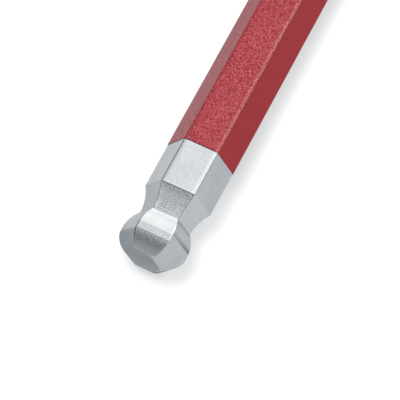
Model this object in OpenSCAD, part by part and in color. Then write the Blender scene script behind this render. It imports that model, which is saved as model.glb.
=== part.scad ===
// Hex key with a ball end, lying on a flat of its bar.
// Millimetres, +Z up. The long arm runs along Y with the ball end towards -Y,
// and the short arm points towards +X. The origin is below the middle of the whole key.

/* [Bar] */
// Width of the bar across two opposite flats
across_flats = 7.94; // [6.5:0.01:9]
// Length of the long arm, from the ball's tip to the outside of the short arm
long_l = 171.45; // [120:0.05:260]
// Length of the short arm, from its end to the outside of the long arm
short_l = 31.75; // [28:0.05:50]
// Radius of the bend, along the middle of the bar
bend_r = 12.5; // [9:0.1:14]
// Length of the bevel round the short arm's end
end_bevel = 0.8; // [0.3:0.05:1.2]

/* [Ball end] */
// Width across flats of the flat face at the tip
tip_af = 4; // [3:0.05:5.2]
// Radius of the ball's front, from the tip to its straight band
ball_front_r = 3.1; // [2.6:0.05:3.6]
// Angle of the crease between the ball's front and its straight band
front_crease = 10; // [5:0.5:25]
// Length of the straight band at the ball's widest place
ball_band_l = 0.8; // [0.4:0.05:2]
// How much narrower the ball is across flats than the bar
ball_relief = 0.08; // [0:0.01:0.4]
// Radius of the ball's back, from its straight band to the neck
ball_back_r = 4.8; // [4.3:0.05:6]
// Angle of the crease between the ball's straight band and its back
back_crease = 4; // [2:0.5:12]
// Depth of the neck below each flat of the bar
neck_depth = 0.95; // [0.5:0.05:1.3]
// Radius of the hollow from the neck up to the bar
neck_r = 7.4; // [5:0.1:12]

/* [Coating] */
// Thickness of the coloured coating
coat_t = 0.07; // [0.04:0.01:0.3]
// Length of bare steel from the ball's tip to the coating
tip_bare_l = 15.85; // [12:0.05:30]
// Length of bare steel at the short arm's end
end_bare_l = 6; // [2:0.5:9]

/* [Hidden] */
// Sides of the bar, and facets on a full circle
sides = 6;
$fn = 96;
// Corner radii of the bare and the coated bar
bar_r = across_flats / sqrt(3);
coat_af = across_flats + 2 * coat_t;
coat_r = coat_af / sqrt(3);
// Ends of the two straight lengths, measured from where the arms' middle lines cross
long_end = long_l - bar_r;
short_end = short_l - bar_r;
// Half widths across flats, from the tip to the bar
tip_h = tip_af / 2;
bar_h = across_flats / 2;
ball_h = bar_h - ball_relief / 2;
neck_h = bar_h - neck_depth;
// Heights of the centres of the ball's two arcs
front_h = ball_h - ball_front_r * cos(front_crease);
back_h = ball_h - ball_back_r * cos(back_crease);
// Distances from the tip: the front arc's centre, both ends of the straight band, the back arc's
// centre, the neck's narrowest place and its far end
front_c = arc_run(ball_front_r, tip_h - front_h);
band_at = front_c - ball_front_r * sin(front_crease);
back_at = band_at + ball_band_l;
back_c = back_at - ball_back_r * sin(back_crease);
neck_at = back_c + arc_run(ball_back_r, neck_h - back_h);
neck_end = neck_at + arc_run(neck_r, neck_r - neck_depth);
// How far a cut runs past the surface that it cuts
past = 1;

// How far along the bar an arc of radius r lies from its centre where it is rise above it
function arc_run(r, rise) = sqrt(pow(r, 2) - pow(rise, 2));

// Section of the bar, a flat on top and below
module section(af) {
    circle(r = af / sqrt(3), $fn = sides);
}

// Bar bent through a right angle, from long_to along the long arm to short_to along the short one
module bent_bar(af, long_to, short_to) {
    translate([0, -bend_r, 0])
        rotate([90, 0, 0])
            linear_extrude(long_to - bend_r) section(af);
    translate([bend_r, -bend_r, 0])
        rotate([0, 0, 90])
            rotate_extrude(angle = 90)
                translate([bend_r, 0]) section(af);
    translate([bend_r, 0, 0])
        rotate([90, 0, 90])
            linear_extrude(short_to - bend_r) section(af);
}

// What is ground off one flat to leave the ball and its neck.
// X runs from the tip along the bar, Y out from the bar's middle line.
module ground_outline() {
    far = bar_h + past;
    // All that stands above the ball's straight band, from past the tip to the neck
    translate([-past, ball_h]) square([neck_at + past, far - ball_h]);
    // Front of the ball
    difference() {
        translate([-past, tip_h - past]) square([band_at + past, far - tip_h + past]);
        translate([front_c, front_h]) circle(ball_front_r);
    }
    // Back of the ball and the hollow of the neck
    difference() {
        intersection() {
            translate([neck_at, neck_h + neck_r]) circle(neck_r);
            translate([back_at, 0]) square([neck_end - back_at + past, far]);
        }
        translate([back_c, back_h]) circle(ball_back_r);
    }
}

// The ground-off shapes round all six flats, at the long arm's end
module ball_cuts() {
    for (side = [0 : sides - 1])
        translate([0, -long_end, 0])
            rotate([0, side * 360 / sides, 0])
                rotate([90, 0, 90])
                    linear_extrude(2 * bar_r, center = true) ground_outline();
}

// Ring with a sloping inside that bevels the corners of the short arm's end
module bevel_cut() {
    translate([short_end, 0, 0])
        rotate([0, 90, 0])
            rotate_extrude()
                polygon([
                    [bar_r - end_bevel - past, past],
                    [bar_r + past, -end_bevel - past],
                    [bar_r + past, past]
                ]);
}

// Places the key on its lowest flat, with the middle of its outline over the origin
module lying() {
    translate([(coat_r - short_end) / 2, (long_end - coat_r) / 2, coat_af / 2]) children();
}

// Steel bar: one drawn hexagonal bar, bent, ground to a ball at one end and bevelled at the other
module hex_bar() {
    color([0.72, 0.74, 0.75]) lying() difference() {
        bent_bar(across_flats, long_end, short_end);
        ball_cuts();
        bevel_cut();
    }
}

// Red coating, baked on to the bar between its two bare ends
module coating() {
    color([0.68, 0.16, 0.2]) lying() difference() {
        bent_bar(coat_af, long_end - tip_bare_l, short_end - end_bare_l);
        bent_bar(across_flats, long_end, short_end);
    }
}

hex_bar();
coating();
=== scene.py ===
import math

import bmesh
import bpy
from mathutils import Matrix, Vector


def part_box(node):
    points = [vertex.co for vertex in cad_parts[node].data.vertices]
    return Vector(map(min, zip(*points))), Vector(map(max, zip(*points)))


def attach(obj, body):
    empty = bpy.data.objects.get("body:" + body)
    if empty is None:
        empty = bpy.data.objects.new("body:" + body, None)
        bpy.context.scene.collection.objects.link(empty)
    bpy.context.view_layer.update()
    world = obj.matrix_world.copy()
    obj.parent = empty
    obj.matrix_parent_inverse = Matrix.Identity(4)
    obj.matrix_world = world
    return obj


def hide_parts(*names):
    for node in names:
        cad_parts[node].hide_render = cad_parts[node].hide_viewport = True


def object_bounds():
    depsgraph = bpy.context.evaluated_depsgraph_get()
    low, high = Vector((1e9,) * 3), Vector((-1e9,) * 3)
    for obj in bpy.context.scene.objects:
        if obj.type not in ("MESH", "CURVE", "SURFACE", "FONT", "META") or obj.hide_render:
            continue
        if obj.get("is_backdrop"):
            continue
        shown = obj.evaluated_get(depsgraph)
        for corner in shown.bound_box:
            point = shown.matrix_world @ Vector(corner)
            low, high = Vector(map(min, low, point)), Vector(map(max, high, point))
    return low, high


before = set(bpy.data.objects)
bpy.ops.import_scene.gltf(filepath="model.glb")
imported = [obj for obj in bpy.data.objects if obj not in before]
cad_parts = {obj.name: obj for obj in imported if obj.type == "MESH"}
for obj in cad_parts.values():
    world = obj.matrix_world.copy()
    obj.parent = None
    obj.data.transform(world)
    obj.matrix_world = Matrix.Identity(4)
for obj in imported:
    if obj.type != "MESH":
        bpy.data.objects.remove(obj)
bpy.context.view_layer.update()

bpy.ops.object.select_all(action="DESELECT")
scene = bpy.context.scene
scene.view_settings.view_transform = "Standard"

# Camera: looks down on the ball end from in front and a little to the right, held with a slight roll.
# It aims beside the middle line of the long arm, a little in front of the coating's edge.
bar_low, bar_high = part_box("hex_bar")
coat_low, coat_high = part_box("coating")
flat_over_corner = math.cos(math.radians(30))
arm_z = (coat_low.z + coat_high.z) / 2
bar_half = arm_z - bar_low.z
bar_corner = bar_half / flat_over_corner
long_arm_x = bar_low.x + bar_corner
aim_beside_arm = 0.00244
aim_before_coat = 0.00563
view_azimuth = math.radians(23.67)
view_elevation = math.radians(64.81)
view_roll = math.radians(2.83)
view_distance = 0.325
aim = Vector((long_arm_x + aim_beside_arm, coat_low.y - aim_before_coat, arm_z))
away = Vector((
    math.sin(view_azimuth) * math.cos(view_elevation),
    -math.cos(view_azimuth) * math.cos(view_elevation),
    math.sin(view_elevation),
))
bpy.ops.object.camera_add(location=aim + view_distance * away)
camera = bpy.context.active_object
camera.name = "camera"
camera.rotation_mode = "QUATERNION"
level = (-away).to_track_quat("-Z", "Y")
camera.rotation_quaternion = level @ Matrix.Rotation(view_roll, 3, "Z").to_quaternion()
camera.data.sensor_width = 36
camera.data.lens = 233.85
camera.data.shift_x = 0.0051
camera.data.shift_y = 0.00855
camera.data.clip_start = 0.01
scene.camera = camera
bpy.ops.object.select_all(action="DESELECT")

# Floor: a sheet of white paper that the key lies on. It keeps the key's soft shadow,
# and a little light of its own lifts it to white, a little more away from the tip: painted light that
# lightens the shadow beside the coating.
# In the steel alone it shows a darker patch before the tip: a painted dark reflection, as a dull card there
# would give.
floor_width = 3.0
patch_middle = (-0.0215, -0.1305)
patch_reach = (0.0120, 0.0500)
patch_fade = 0.001
paper_white = (0.62, 0.63, 0.64)
reflection_shade_grey = (0.33, 0.34, 0.36)
lift_from, lift_to = -0.08, -0.055
lift_at_tip, lift_beyond = 0.41, 0.47
lift_in_steel = 0.05
bpy.ops.mesh.primitive_plane_add(size=floor_width, location=(0, 0, 0))
floor = bpy.context.active_object
floor.name = "floor"
floor.data.transform(floor.matrix_world)
floor.matrix_world = Matrix.Identity(4)


def start_material(name):
    """A new material, with its nodes, its links and its surface shader."""
    material = bpy.data.materials.new(name)
    material.use_nodes = True
    tree = material.node_tree
    return material, tree.nodes, tree.links, tree.nodes["Principled BSDF"]


def add_node(kind, values=None, **settings):
    """A node of the material in hand, with its settings and the values of its sockets."""
    node = nodes.new(kind)
    for name, value in settings.items():
        setattr(node, name, value)
    for socket, value in (values or {}).items():
        node.inputs[socket].default_value = value
    return node


def combine(operation, first, second=0.0):
    """Two values added, multiplied or the like. Each is a socket or a number."""
    node = add_node("ShaderNodeMath", operation=operation)
    for socket, value in zip(node.inputs, (first, second)):
        if isinstance(value, (int, float)):
            socket.default_value = value
        else:
            links.new(value, socket)
    return node.outputs["Value"]


def overlap(first, *others):
    """Where all the masks lie over each other."""
    for other in others:
        first = combine("MULTIPLY", first, other)
    return first


def span(value, low, high, to_low=0.0, to_high=1.0):
    """Smooth share of the way from low to high, given between to_low and to_high."""
    node = add_node("ShaderNodeMapRange", interpolation_type="SMOOTHSTEP")
    node.inputs["From Min"].default_value = low
    node.inputs["From Max"].default_value = high
    node.inputs["To Min"].default_value = to_low
    node.inputs["To Max"].default_value = to_high
    links.new(value, node.inputs["Value"])
    return node.outputs["Result"]


def blend_colours(share, first, second):
    """Colour between first and second by share."""
    node = add_node("ShaderNodeMix", data_type="RGBA", values={"A": (*first, 1), "B": (*second, 1)})
    links.new(share, node.inputs["Factor"])
    return node.outputs["Result"]


def near_middle(axis, middle, reach):
    """One on the floor as far as reach from the middle along one axis, and nothing further out."""
    offset = combine("ABSOLUTE", combine("SUBTRACT", place.outputs[axis], middle))
    return span(offset, reach - patch_fade, reach + patch_fade, 1.0, 0.0)


paper, nodes, links, finish = start_material("white_paper")
finish.inputs["Roughness"].default_value = 1
finish.inputs["Specular IOR Level"].default_value = 0
finish.inputs["Emission Color"].default_value = (1, 1, 1, 1)
path = add_node("ShaderNodeLightPath")
place = add_node("ShaderNodeSeparateXYZ")
links.new(add_node("ShaderNodeTexCoord").outputs["Object"], place.inputs["Vector"])
patch = overlap(*(near_middle(*side) for side in zip("XY", patch_middle, patch_reach)))
# Painted dark reflection: the patch greys the paper for glossy rays only.
painted_reflection_shade = overlap(patch, path.outputs["Is Glossy Ray"])
links.new(blend_colours(painted_reflection_shade, paper_white, reflection_shade_grey), finish.inputs["Base Color"])
# Painted light: the paper glows a little more away from the tip, which lightens the shadow beside the
# coating.
lift = span(place.outputs["Y"], lift_from, lift_to, lift_at_tip, lift_beyond)
camera_lift = overlap(path.outputs["Is Camera Ray"], lift)
steel_lift = overlap(path.outputs["Is Glossy Ray"], lift_in_steel)
links.new(combine("ADD", camera_lift, steel_lift), finish.inputs["Emission Strength"])
floor.data.materials.append(paper)
floor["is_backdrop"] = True
bpy.ops.object.select_all(action="DESELECT")

# Light: a soft studio. The wall behind the key is white, the ceiling over the camera is in shade,
# and one wide lamp on the left draws the soft shadow to the key's right.
# Only reflections see that room. All else is lit by an even dome, and the camera sees plain white.
right_wall_grey = (0.24, 0.25, 0.255)
right_wall_from, right_wall_to = 0.74, 0.84
room_strength = 2.86
dome_strength = 0.8
world = bpy.data.worlds.new("studio")
world.use_nodes = True
scene.world = world
nodes = world.node_tree.nodes
links = world.node_tree.links
nodes.clear()
place = add_node("ShaderNodeSeparateXYZ")
links.new(add_node("ShaderNodeTexCoord").outputs["Generated"], place.inputs["Vector"])


def studio_ramp(axis, stops):
    """Grey levels along one direction of the room, from its -1 end to its +1 end."""
    ramp = add_node("ShaderNodeValToRGB")
    marks = ramp.color_ramp.elements
    while len(marks) < len(stops):
        marks.new(0.5)
    for mark, (at, grey) in zip(marks, stops):
        mark.position = (at + 1) / 2
        mark.color = (grey, grey, grey, 1)
    share = combine("MULTIPLY", combine("ADD", place.outputs[axis], 1), 0.5)
    links.new(share, ramp.inputs["Fac"])
    return ramp.outputs["Color"]


def choose_light(ray, otherwise, chosen):
    """One light for a kind of ray, and another for all other rays."""
    choice = add_node("ShaderNodeMixShader")
    links.new(path.outputs[ray], choice.inputs["Fac"])
    links.new(otherwise, choice.inputs[1])
    links.new(chosen, choice.inputs[2])
    return choice.outputs["Shader"]


depth = studio_ramp("Y", [
    (-1, 0.2), (-0.82, 0.19), (-0.59, 0.15), (-0.28, 0.21), (0.06, 0.39), (0.25, 0.46), (0.33, 0.53),
    (0.39, 0.62), (0.51, 0.8), (1, 0.85),
])
width = studio_ramp("X", [(-0.9, 0.08), (-0.7, 0.15), (-0.4, 0.7), (0.1, 0.7), (0.55, 1)])
open_room = add_node("ShaderNodeMix", data_type="RGBA", blend_type="MULTIPLY", values={"Factor": 1})
links.new(depth, open_room.inputs["A"])
links.new(width, open_room.inputs["B"])
right_wall = add_node("ShaderNodeMix", data_type="RGBA", values={"B": (*right_wall_grey, 1)})
links.new(span(place.outputs["X"], right_wall_from, right_wall_to), right_wall.inputs["Factor"])
links.new(open_room.outputs["Result"], right_wall.inputs["A"])
room = add_node("ShaderNodeBackground", {"Strength": room_strength})
links.new(right_wall.outputs["Result"], room.inputs["Color"])
dome = add_node("ShaderNodeBackground", {"Color": (1, 1, 1, 1), "Strength": dome_strength})
backdrop = add_node("ShaderNodeBackground", {"Color": (1, 1, 1, 1), "Strength": 1.0})
path = add_node("ShaderNodeLightPath")
light = choose_light("Is Glossy Ray", dome.outputs["Background"], room.outputs["Background"])
light = choose_light("Is Camera Ray", light, backdrop.outputs["Background"])
links.new(light, add_node("ShaderNodeOutputWorld").inputs["Surface"])

bpy.ops.object.light_add(type="AREA", location=(-0.19, -0.09, 0.66))
lamp = bpy.context.active_object
lamp.name = "soft_lamp"
lamp.rotation_euler = (-lamp.location).to_track_quat("-Z", "Y").to_euler()
lamp.data.shape = "SQUARE"
lamp.data.size = 0.34
lamp.data.energy = 2.0
lamp.visible_glossy = False
bpy.ops.object.select_all(action="DESELECT")

# Steel bar: one length of drawn hexagonal bar, bent cold through a right angle.
# One end is ground on all six flats to a ball and neck, the other is turned to a bevel,
# and the whole bar is satin plated.
tip_y = bar_low.y
short_arm_y = bar_high.y - bar_corner
short_end_x = bar_high.x
bend_radius = 0.0125
bend_steps = 24
bend_x = long_arm_x + bend_radius
bend_y = short_arm_y - bend_radius
tip_half = 0.0020
front_radius = 0.0031
front_crease = math.radians(10)
band_length = 0.00098
ball_half = bar_half - 0.00004
back_radius = 0.0048
back_crease = math.radians(4)
neck_half = bar_half - 0.00095
hollow_radius = 0.0074
arc_steps = 20
bar_rounding = 0.00012
end_bevel = 0.0008
tool_size = 0.0024
turning_steps = 96
smooth_below = math.radians(30)
corner_above = math.radians(32)
tiny = 1e-6


def run(radius, rise):
    """How far along the bar an arc lies from its centre where it is rise above it."""
    return math.sqrt(radius**2 - rise**2)


def ground_profile():
    """Distance from the tip and half width across flats, from the tip to the bar."""
    front_low = ball_half - front_radius * math.cos(front_crease)
    front_at = run(front_radius, tip_half - front_low)
    band_at = front_at - front_radius * math.sin(front_crease)
    back_low = ball_half - back_radius * math.cos(back_crease)
    back_at = band_at + band_length - back_radius * math.sin(back_crease)
    neck_at = back_at + run(back_radius, neck_half - back_low)
    first = math.acos((tip_half - front_low) / front_radius)
    last = math.acos((neck_half - back_low) / back_radius)
    sweep = math.acos(1 - (bar_half - neck_half) / hollow_radius)
    outline = []
    for step in range(arc_steps + 1):
        angle = first + (front_crease - first) * step / arc_steps
        height = front_low + front_radius * math.cos(angle)
        outline.append((front_at - front_radius * math.sin(angle), height))
    for step in range(arc_steps + 1):
        angle = back_crease + (last - back_crease) * step / arc_steps
        height = back_low + back_radius * math.cos(angle)
        outline.append((back_at + back_radius * math.sin(angle), height))
    for step in range(1, arc_steps + 1):
        angle = sweep * step / arc_steps
        height = neck_half + hollow_radius * (1 - math.cos(angle))
        outline.append((neck_at + hollow_radius * math.sin(angle), height))
    return outline


def start_section(name, half, at):
    """A six-sided face across the long arm, facing the tip, a flat on top and below, left in edit mode."""
    bpy.ops.mesh.primitive_circle_add(
        vertices=6,
        radius=half / flat_over_corner,
        fill_type="NGON",
        location=(long_arm_x, at, arm_z),
        rotation=(math.radians(90), math.radians(30), 0),
    )
    piece = bpy.context.active_object
    piece.name = name
    bpy.ops.object.transform_apply(location=True, rotation=True, scale=True)
    bpy.ops.object.mode_set(mode="EDIT")
    bpy.ops.mesh.select_mode(type="FACE")
    bpy.ops.mesh.select_all(action="SELECT")
    return piece


def extrude_along(way, distance):
    """Draws the selected end face out."""
    bpy.ops.mesh.extrude_region_move(TRANSFORM_OT_translate={"value": Vector(way) * distance})


def close_mesh():
    """Joins points that lie in one place, and turns all faces outward."""
    bpy.ops.mesh.select_all(action="SELECT")
    bpy.ops.mesh.remove_doubles(threshold=tiny)
    bpy.ops.mesh.normals_make_consistent(inside=False)


def bend_and_finish(straight_from, end_at):
    """Draws the selected face along the long arm, round the bend and along the short arm."""
    extrude_along((0, 1, 0), bend_y - straight_from)
    bpy.ops.mesh.spin(
        steps=bend_steps,
        angle=math.radians(90),
        center=(bend_x, bend_y, arm_z),
        axis=(0, 0, 1),
    )
    extrude_along((1, 0, 0), end_at - bend_x)
    close_mesh()


profile = ground_profile()
bar = start_section("steel_bar", profile[0][1], tip_y)
for (near, low), (far, high) in zip(profile, profile[1:]):
    extrude_along((0, 1, 0), far - near)
    grow = high / low
    bpy.ops.transform.resize(value=(grow, 1, grow), center_override=(long_arm_x, tip_y + far, arm_z))
full_bar_from = tip_y + profile[-1][0]
bend_and_finish(full_bar_from, short_end_x)

# Rings where two ground faces meet stay crisp: the tip, both ends of the band, the neck and the shoulder.
ring_steps = (0, arc_steps, arc_steps + 1, 2 * arc_steps + 1, -1)
rings = [profile[step][0] for step in ring_steps]
bpy.ops.mesh.select_all(action="DESELECT")
bpy.ops.mesh.select_mode(type="EDGE")
shape = bmesh.from_edit_mesh(bar.data)
for edge in shape.edges:
    ends = [corner.co.y for corner in edge.verts]
    edge.select_set(any(max(abs(y - tip_y - ring) for y in ends) < tiny for ring in rings))
bmesh.update_edit_mesh(bar.data)
bpy.ops.mesh.mark_sharp()
bpy.ops.object.mode_set(mode="OBJECT")


def round_corners(piece, width):
    """Rounds the long corners of a piece a little."""
    bpy.ops.object.shade_smooth_by_angle(angle=smooth_below, keep_sharp_edges=True)
    rounding = piece.modifiers.new("round_corners", "BEVEL")
    rounding.width = width
    rounding.segments = 3
    rounding.limit_method = "ANGLE"
    rounding.angle_limit = corner_above
    rounding.use_clamp_overlap = False
    bpy.ops.object.modifier_apply(modifier=rounding.name)


def shade_flats(piece):
    """Smooth shading that keeps the flats flat beside their rounded corners."""
    bpy.ops.object.shade_smooth_by_angle(angle=smooth_below, keep_sharp_edges=True)
    flats = piece.modifiers.new("flat_shading", "WEIGHTED_NORMAL")
    flats.keep_sharp = True
    bpy.ops.object.modifier_apply(modifier=flats.name)


def mark_places(piece):
    """Stores each point's place as if the bar weren't bent: across, along from the tip and up, in mm."""
    places = []
    for point in piece.data.vertices:
        x, y, z = point.co
        if y < bend_y:
            across, along = x - long_arm_x, y - tip_y
        elif x > bend_x:
            across, along = short_arm_y - y, bend_y - tip_y + bend_radius * math.pi / 2 + x - bend_x
        else:
            turn = math.atan2(y - bend_y, bend_x - x)
            across = bend_radius - math.hypot(bend_x - x, y - bend_y)
            along = bend_y - tip_y + bend_radius * turn
        places += [across * 1000, along * 1000, (z - arm_z) * 1000]
    layer = piece.data.attributes.new("bar_place", "FLOAT_VECTOR", "POINT")
    layer.data.foreach_set("vector", places)


round_corners(bar, bar_rounding)
bpy.ops.object.select_all(action="DESELECT")

# The turning tool's path round the short end: a diamond spun round the arm, one side at the bevel's slope.
bpy.ops.mesh.primitive_circle_add(
    vertices=4,
    radius=tool_size,
    fill_type="NOTHING",
    location=(short_end_x + tool_size / 2, short_arm_y + bar_corner - end_bevel + tool_size / 2, arm_z),
)
tool = bpy.context.active_object
bpy.ops.object.transform_apply(location=True, rotation=True, scale=True)
bpy.ops.object.mode_set(mode="EDIT")
bpy.ops.mesh.select_all(action="SELECT")
bpy.ops.mesh.spin(
    steps=turning_steps,
    angle=math.radians(360),
    center=(short_end_x, short_arm_y, arm_z),
    axis=(1, 0, 0),
)
close_mesh()
bpy.ops.object.mode_set(mode="OBJECT")
bpy.ops.object.select_all(action="DESELECT")
bar.select_set(True)
bpy.context.view_layer.objects.active = bar
turning = bar.modifiers.new("turned_bevel", "BOOLEAN")
turning.operation = "DIFFERENCE"
turning.solver = "EXACT"
turning.object = tool
bpy.ops.object.modifier_apply(modifier=turning.name)
bpy.data.objects.remove(tool)
shade_flats(bar)
mark_places(bar)

# Steel finish: fine satin grain all over, coarser where the wheel cut the neck's upper flat,
# with the wheel's cross lines on the neck and the ball, and painted highlights and shade in its colour.
# Places are in millimetres: along from the tip, across and up from the bar's middle line.
# steel_bright and steel_dark carry the grain and the wheel's lines, and the painted highlights and painted
# shade.
steel_plain = (0.59, 0.62, 0.64)
steel_bright = (0.93, 0.96, 0.985)
steel_dark = (0.12, 0.15, 0.17)
ball_back_tone = (0.6, 0.61, 0.62)
edge_fade = 0.1
under_coating = 18
satin_grains = 5.0
cloud_grains = 0.45
speckle_grains = 8.0
wander_grains = 1.4
line_wander = 0.2
line_rate = 21


def read_place():
    """The place on the bar that mark_places stored, whole and as its three parts."""
    whole = add_node("ShaderNodeAttribute", attribute_name="bar_place").outputs["Vector"]
    parts = add_node("ShaderNodeSeparateXYZ")
    links.new(whole, parts.inputs["Vector"])
    return whole, parts.outputs["X"], parts.outputs["Y"], parts.outputs["Z"]


def read_sides(across, up):
    """Height above the two upper corners' slopes, and masks of the upper flat, left side and right side."""
    slope = combine("MULTIPLY", combine("ABSOLUTE", across), math.tan(math.radians(60)))
    above = combine("SUBTRACT", up, slope)
    left, right = combine("LESS_THAN", across, 0), combine("GREATER_THAN", across, 0)
    return above, span(above, -edge_fade, edge_fade), left, right


def grain(place, stretch, scale):
    """Fine noise on the bar, stretched and as many grains to the millimetre as scale says."""
    spread = add_node("ShaderNodeVectorMath", operation="MULTIPLY", values={1: stretch})
    links.new(place, spread.inputs[0])
    noise = add_node("ShaderNodeTexNoise", values={"Scale": scale, "Detail": 2.0, "Roughness": 0.6})
    links.new(spread.outputs["Vector"], noise.inputs["Vector"])
    return noise.outputs["Fac"]


def between(value, start, end, fade):
    """One from start to end, and nothing outside, with soft ends."""
    return overlap(span(value, start - fade, start + fade), span(value, end - fade, end + fade, 1.0, 0.0))


def layers(*pairs):
    """Sum of masks, each with its own strength."""
    total = 0.0
    for mask, strength in pairs:
        total = combine("ADD", combine("MULTIPLY", mask, strength), total)
    return total


def tint(under, share, colour):
    """A colour laid over the one under it, by share."""
    node = add_node("ShaderNodeMix", data_type="RGBA", values={"B": (*colour, 1)})
    links.new(combine("MINIMUM", share, 1), node.inputs["Factor"])
    links.new(under, node.inputs["A"])
    return node.outputs["Result"]


def add_relief(height):
    """Raises the surface of the material in hand by a height in tenths of a millimetre."""
    relief = add_node("ShaderNodeBump", values={"Strength": 1.0, "Distance": 0.0001})
    links.new(height, relief.inputs["Height"])
    links.new(relief.outputs["Normal"], finish.inputs["Normal"])


steel, nodes, links, finish = start_material("ground_steel")
finish.inputs["Metallic"].default_value = 1
front_end, band_end, neck_from, neck_to = (ring * 1000 for ring in rings[1:])

# Parts of the bar: its flats, and the stretches along it
whole_place, across, along, up = read_place()
slope_up, upper_flat, left_side, right_side = read_sides(across, up)
side_flats = span(slope_up, edge_fade, -edge_fade)
left_flat = overlap(side_flats, left_side)
right_flat = overlap(side_flats, right_side)
in_neck = between(along, neck_from, neck_to, 0.03)
on_bar = between(along, neck_to + 0.05, under_coating, 0.05)
upper_bar = overlap(on_bar, upper_flat)
coarse = overlap(in_neck, upper_flat)
front_and_band = overlap(between(along, front_end - 1.5, band_end, edge_fade), upper_flat)
past_band = span(along, band_end, band_end + 0.2)
ball_back = overlap(past_band, span(along, neck_from + 0.1, neck_from), upper_flat)
not_back = combine("SUBTRACT", 1.0, ball_back)
past_valley = span(along, neck_from + 0.1, neck_from + 0.5)
inside_left = combine("MAXIMUM", span(slope_up, 0.0, 1.1), right_side)

# Grain of the plating and the wheel's cross lines, broken up here and there
satin = grain(whole_place, (1, 0.45, 1), satin_grains)
clouds = grain(whole_place, (1, 0.6, 1), cloud_grains)
speckle = grain(whole_place, (0.7, 1, 0.7), speckle_grains)
wander = grain(whole_place, (1, 1, 1), wander_grains)
sparkle = span(speckle, 0.44, 0.56)
pores = span(speckle, 0.56, 0.44)
wheel_turns = combine("MULTIPLY", layers((wander, line_wander), (along, 1)), line_rate)
near_ball = between(along, neck_from + 0.15, neck_from + 1.1, 0.12)
near_shoulder = between(along, neck_to - 1.0, neck_to, 0.35)
broken = span(speckle, 0.62, 0.4, 0.4, 1.3)
lines_at = layers(
    (overlap(near_ball, coarse), 1),
    (overlap(near_shoulder, coarse), 0.45),
    (front_and_band, 0.4),
)
wheel_lines = overlap(combine("SINE", wheel_turns), broken, lines_at)

# Relief and dullness
satin_height = overlap(
    satin,
    span(slope_up, -edge_fade, edge_fade, 0.004, 0.03),
    span(ball_back, 0, 1, 1.0, 0.1),
)
speckle_height = overlap(combine("SUBTRACT", speckle, 0.5), coarse, past_valley)
add_relief(layers((satin_height, 1), (speckle_height, 0.6)))
dullness = layers((span(satin, 0.3, 0.7, 0.2, 0.3), 1), (coarse, 0.25), (ball_back, 0.1))
links.new(dullness, finish.inputs["Roughness"])

# Painted highlights and sheen brighter than the plain steel, with the wheel lines' bright crests and bright
# grains
# Painted sheen on the neck's hollow near the ball, painted highlight along the neck's left edge, painted
# sheen below the shoulder.
hollow_sheen = overlap(span(along, neck_from + 0.05, neck_from + 0.6, 0.1, 1.0), coarse)
neck_left_highlight = overlap(between(slope_up, -0.2, 0.15, 0.08), in_neck, left_side)
under_shoulder_sheen = overlap(between(along, neck_to - 1.5, neck_to, 0.3), coarse)
# Painted highlight on the ball's back beside the valley, painted sheen on its front, painted highlights
# behind the tip and on the tip face.
valley_highlight = overlap(
    span(along, neck_from - 0.7, neck_from - 0.3),
    combine("LESS_THAN", along, neck_from),
    upper_flat,
)
front_sheen = overlap(span(along, front_end + 0.02, front_end - 0.02, 0.45, 1.0), front_and_band)
above_tip_highlight = overlap(between(along, 0.1, 0.9, 0.1), upper_flat)
tip_face_highlight = overlap(combine("LESS_THAN", along, 0.02), span(up, 1.2, -1.9))
line_crests = overlap(span(wheel_lines, -0.1, -0.9), in_neck, inside_left)
# Painted highlights along the shoulder's edge and along the bar's right upper corner.
shoulder_highlight = overlap(between(along, neck_to, neck_to + 0.14, 0.05), upper_flat)
bar_right_highlight = overlap(between(slope_up, 0.0, 0.8, 0.1), on_bar, right_side)
bright = layers(
    (hollow_sheen, 0.58),
    (neck_left_highlight, 0.5),
    (under_shoulder_sheen, 0.42),
    (valley_highlight, 0.9),
    (front_sheen, 0.25),
    (above_tip_highlight, 0.22),
    (tip_face_highlight, 0.55),
    (line_crests, 0.5),
    (shoulder_highlight, 0.4),
    (bar_right_highlight, 0.3),
    (overlap(upper_bar, sparkle), 0.16),
    (overlap(front_and_band, sparkle), 0.14),
    # Painted light: the bar's left flat and the neck's right flat lighter.
    (overlap(left_flat, on_bar), 0.18),
    (overlap(right_flat, in_neck), 0.15),
)

# Darker than the plain steel: satin grain, pores, clouds and wheel grooves, with painted shade lines and
# shaded flats
satin_dark = overlap(
    span(satin, 0.3, 0.7, 1.0, 0.0),
    span(slope_up, -edge_fade, edge_fade, 0.25, 1.0),
    not_back,
)
line_grooves = overlap(span(wheel_lines, 0.1, 0.9), inside_left)
# Painted shade lines in the valley, at the front crease and under the shoulder; painted dark lines by the
# neck's and bar's right corners.
valley_crease_shade = overlap(between(along, neck_from + 0.02, neck_from + 0.25, 0.08), upper_flat)
front_crease_shade = overlap(between(along, front_end - 0.06, front_end + 0.02, 0.03), upper_flat)
shoulder_shade = overlap(between(along, neck_to - 0.2, neck_to, 0.06), upper_flat)
neck_right_shade_line = overlap(between(slope_up, -0.18, 0.06, 0.05), in_neck, right_side)
bar_right_shade_line = overlap(between(slope_up, -0.2, 0.04, 0.06), on_bar, right_side)
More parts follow.
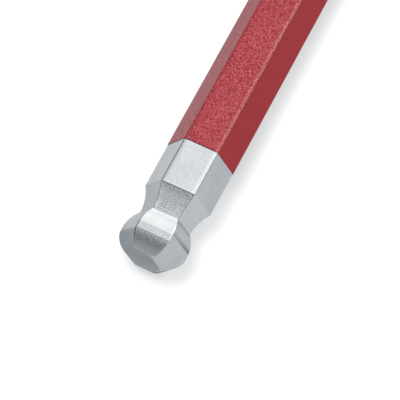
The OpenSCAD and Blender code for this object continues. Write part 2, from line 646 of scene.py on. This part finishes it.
# Painted shade inside the bar's left corner, on the right flat past the band, and on the right flat by the
# valley.
bar_left_shade = overlap(span(slope_up, 1.1, 0.1), span(slope_up, -0.05, 0.05), on_bar, left_side)
band_shade = overlap(
    span(along, band_end - 0.03, band_end + 0.03),
    span(along, band_end + 0.95, band_end + 0.05),
    span(across, 2.0, 4.4, 0.45, 1.0),
    right_flat,
)
valley_shade = overlap(between(along, neck_from - 0.3, neck_from + 0.1, 0.2), right_flat)
dark = layers(
    (satin_dark, 0.07),
    (overlap(pores, upper_bar), 0.09),
    (span(clouds, 0.3, 0.7), 0.09),
    (overlap(pores, coarse, inside_left, past_valley), 0.3),
    (overlap(pores, front_and_band), 0.32),
    (line_grooves, 0.42),
    (valley_crease_shade, 0.18),
    (front_crease_shade, 0.35),
    (shoulder_shade, 0.2),
    (neck_right_shade_line, 0.6),
    (bar_right_shade_line, 0.6),
    (bar_left_shade, 0.33),
    # Painted shade: the neck's left flat darker.
    (overlap(left_flat, in_neck), 0.13),
    (band_shade, 0.7),
    (valley_shade, 0.22),
)

# Plain steel brightened by bright grains, line crests and painted highlights, then darkened by grain,
# grooves and painted shade.
clean = blend_colours(combine("MINIMUM", bright, 1), steel_plain, steel_bright)
clean = tint(clean, overlap(ball_back, span(along, neck_from - 0.3, neck_from - 0.7)), ball_back_tone)
links.new(tint(clean, dark, steel_dark), finish.inputs["Base Color"])
bar.data.materials.append(steel)
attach(bar, "root")
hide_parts("hex_bar")
bpy.ops.object.select_all(action="DESELECT")

# Red coating: a baked metallic powder coat on the bar between its bare ends.
# It is a thin even skin with rounded corners and a clean cut edge.
coat_half = arm_z - coat_low.z
coat_rounding = 0.0002
coat = start_section("red_coating", coat_half, coat_low.y)
bend_and_finish(coat_low.y, coat_high.x)
bpy.ops.mesh.select_all(action="DESELECT")
bpy.ops.mesh.select_mode(type="FACE")
shape = bmesh.from_edit_mesh(coat.data)
for face in shape.faces:
    middle = face.calc_center_median()
    face.select_set(abs(middle.y - coat_low.y) < tiny or abs(middle.x - coat_high.x) < tiny)
bmesh.update_edit_mesh(coat.data)
bpy.ops.mesh.delete(type="FACE")
bpy.ops.object.mode_set(mode="OBJECT")
round_corners(coat, coat_rounding)
skin = coat.modifiers.new("skin", "SOLIDIFY")
skin.thickness = coat_half - bar_half
skin.offset = -1
skin.use_even_offset = True
bpy.ops.object.modifier_apply(modifier=skin.name)
shade_flats(coat)
mark_places(coat)

# Coating finish: deep red, with sand relief, painted pink glints and dark pits on the flats facing up and
# left.
# It sends no red light on to the paper, so the shadow beside it stays grey.
red_deep = (0.35, 0.008, 0.016)
red_glint = (0.585, 0.163, 0.188)
red_edge_glint = (0.72, 0.26, 0.28)
red_sheen_grey = (0.33, 0.115, 0.125)
red_pit_and_shade = (0.13, 0.002, 0.004)
sand_grains = 8.0
dust_grains = 3.0
red, nodes, links, finish = start_material("red_coating")
finish.inputs["Specular IOR Level"].default_value = 0.32
whole_place, across, along, up = read_place()
slope_up, upper_flat, left_side, right_side = read_sides(across, up)
# The flats facing up and left get the sand relief and the painted glints; the right flats stay nearly
# smooth.
up_left_facing = combine("SUBTRACT", combine("MULTIPLY", up, 0.8), combine("MULTIPLY", across, 0.6))
sand_and_glint_flats = span(up_left_facing, 1.66, 1.78, 0.02, 1.0)
sand = grain(whole_place, (1, 1, 1), sand_grains)
dust = grain(whole_place, (1, 1, 1), dust_grains)
add_relief(overlap(sand, sand_and_glint_flats))
links.new(span(dust, 0.3, 0.7, 0.26, 0.36), finish.inputs["Roughness"])

right_edge = overlap(between(slope_up, -0.25, 0.6, 0.12), right_side)
# Painted glints: pink grains on the sand, denser toward the right edge.
glint_share = layers((span(across, -2.6, -0.6, 0.62, 0.85), 1), (right_edge, 0.6))
glints = overlap(span(sand, 0.47, 0.62), sand_and_glint_flats, glint_share)
# Painted highlight: lighter pink grains along the upper flat's right corner.
edge_highlight = overlap(right_edge, span(sand, 0.4, 0.6, 0.1, 0.6))
# Painted reflection: the sand on the left flat greyed, as a sheen.
left_flat_sheen = overlap(span(slope_up, edge_fade, -edge_fade), left_side, span(sand, 0.38, 0.62, 0.15, 0.85))
cut_from = (coat_low.y - tip_y) * 1000
cut_edge = overlap(
    span(along, cut_from + 0.2, cut_from + 0.06),
    upper_flat,
    span(dust, 0.35, 0.6, 0.25, 1.0),
)
# Dark pits in the sand, painted shade lines at the upper flat's left corner and just below its right
# corner, and a darker cut edge.
pits_and_shade_lines = layers(
    (overlap(span(sand, 0.48, 0.36), sand_and_glint_flats), 0.75),
    (overlap(between(slope_up, 0.05, 0.4, 0.1), left_side), 0.45),
    (overlap(between(slope_up, -0.55, -0.25, 0.1), right_side), 0.35),
    (cut_edge, 0.8),
)
coloured = blend_colours(glints, red_deep, red_glint)
coloured = tint(coloured, edge_highlight, red_edge_glint)
coloured = tint(coloured, left_flat_sheen, red_sheen_grey)
links.new(tint(coloured, pits_and_shade_lines, red_pit_and_shade), finish.inputs["Base Color"])
coat.data.materials.append(red)
coat.visible_diffuse = False
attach(coat, "root")
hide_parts("coating")
bpy.ops.object.select_all(action="DESELECT")

low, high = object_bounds()
